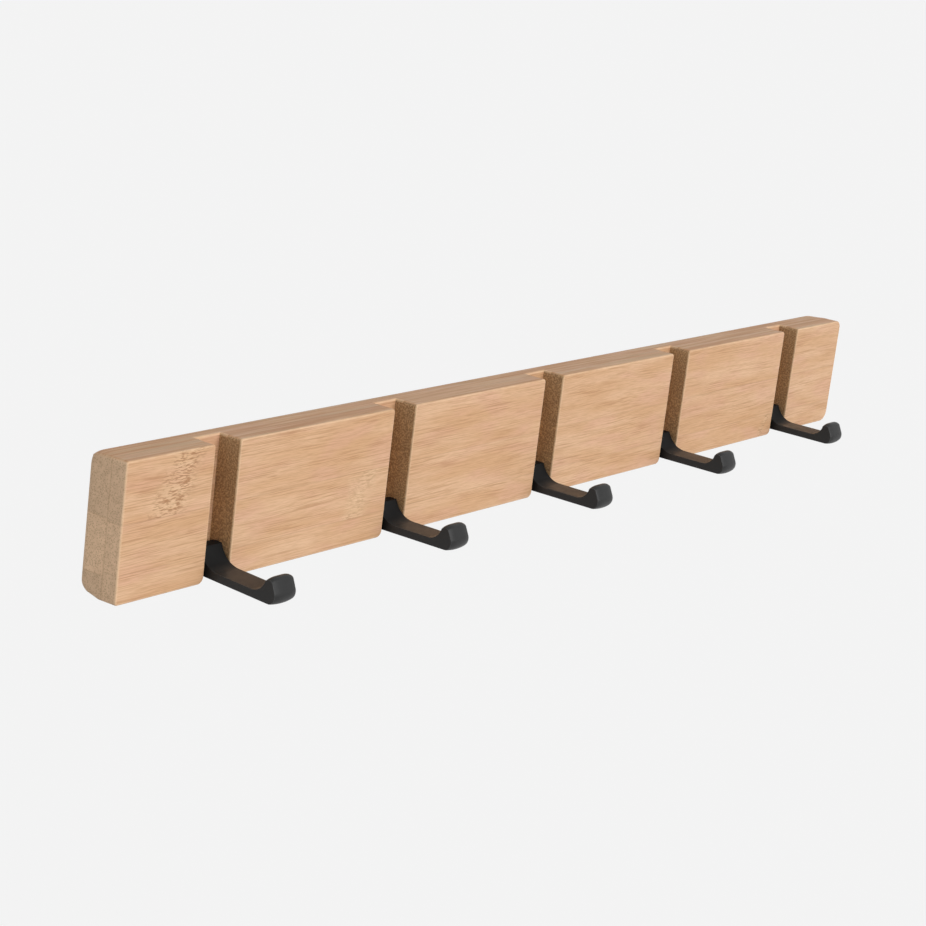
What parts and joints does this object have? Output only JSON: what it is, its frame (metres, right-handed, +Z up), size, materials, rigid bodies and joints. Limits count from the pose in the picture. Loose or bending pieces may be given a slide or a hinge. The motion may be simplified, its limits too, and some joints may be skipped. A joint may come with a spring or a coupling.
{
  "type": "wall hook rack",
  "caption": "Slim bamboo wall rail with black metal coat hooks that fold up flush into full-height slots, hung on concealed keyhole plates.",
  "frame": {"origin": "centre of the back face, which hangs against the wall", "axes": "+X along the rail to the right as seen from the room, -Y out of the wall into the room, +Z up"},
  "size_m": [0.6, 0.0605, 0.06],
  "materials": {
    "bamboo_panel": "laminated bamboo, sanded, clear matt lacquer",
    "bamboo_blocks": "bamboo, fine straight grain, sanded, clear matt lacquer",
    "black_zinc": "die-cast zinc, satin black powder coat",
    "steel": "drawn bright steel",
    "zinc_plated_steel": "pressed sheet steel, zinc plated",
    "nylon": "black moulded nylon"
  },
  "bodies": {
    "rail": {"back_panel": "bamboo_panel", "left_end_block": "bamboo_blocks", "right_end_block": "bamboo_blocks", "friction_washers": "nylon", "left_hanger_plate": "zinc_plated_steel", "right_hanger_plate": "zinc_plated_steel", "hanger_screws": "steel", "middle_block_1": "bamboo_blocks", "middle_block_2": "bamboo_blocks", "middle_block_3": "bamboo_blocks", "middle_block_4": "bamboo_blocks", "hinge_pin_1": "steel", "hinge_pin_2": "steel", "hinge_pin_3": "steel", "hinge_pin_4": "steel", "hinge_pin_5": "steel"},
    "hook_1": {"hook_1": "black_zinc"},
    "hook_2": {"hook_2": "black_zinc"},
    "hook_3": {"hook_3": "black_zinc"},
    "hook_4": {"hook_4": "black_zinc"},
    "hook_5": {"hook_5": "black_zinc"}
  },
  "joints": [
    {"name": "hook_1_fold", "type": "hinge", "parent": "rail", "child": "hook_1", "pos_m": [-0.24, -0.014, -0.0192], "axis": [-1, 0, 0], "range_deg": [0, 93]},
    {"name": "hook_2_fold", "type": "hinge", "parent": "rail", "child": "hook_2", "pos_m": [-0.12, -0.014, -0.0192], "axis": [-1, 0, 0], "range_deg": [-3, 90]},
    {"name": "hook_3_fold", "type": "hinge", "parent": "rail", "child": "hook_3", "pos_m": [0, -0.014, -0.0192], "axis": [-1, 0, 0], "range_deg": [-3, 90]},
    {"name": "hook_4_fold", "type": "hinge", "parent": "rail", "child": "hook_4", "pos_m": [0.12, -0.014, -0.0192], "axis": [-1, 0, 0], "range_deg": [-3, 90]},
    {"name": "hook_5_fold", "type": "hinge", "parent": "rail", "child": "hook_5", "pos_m": [0.24, -0.014, -0.0192], "axis": [-1, 0, 0], "range_deg": [-3, 90]}
  ]
}
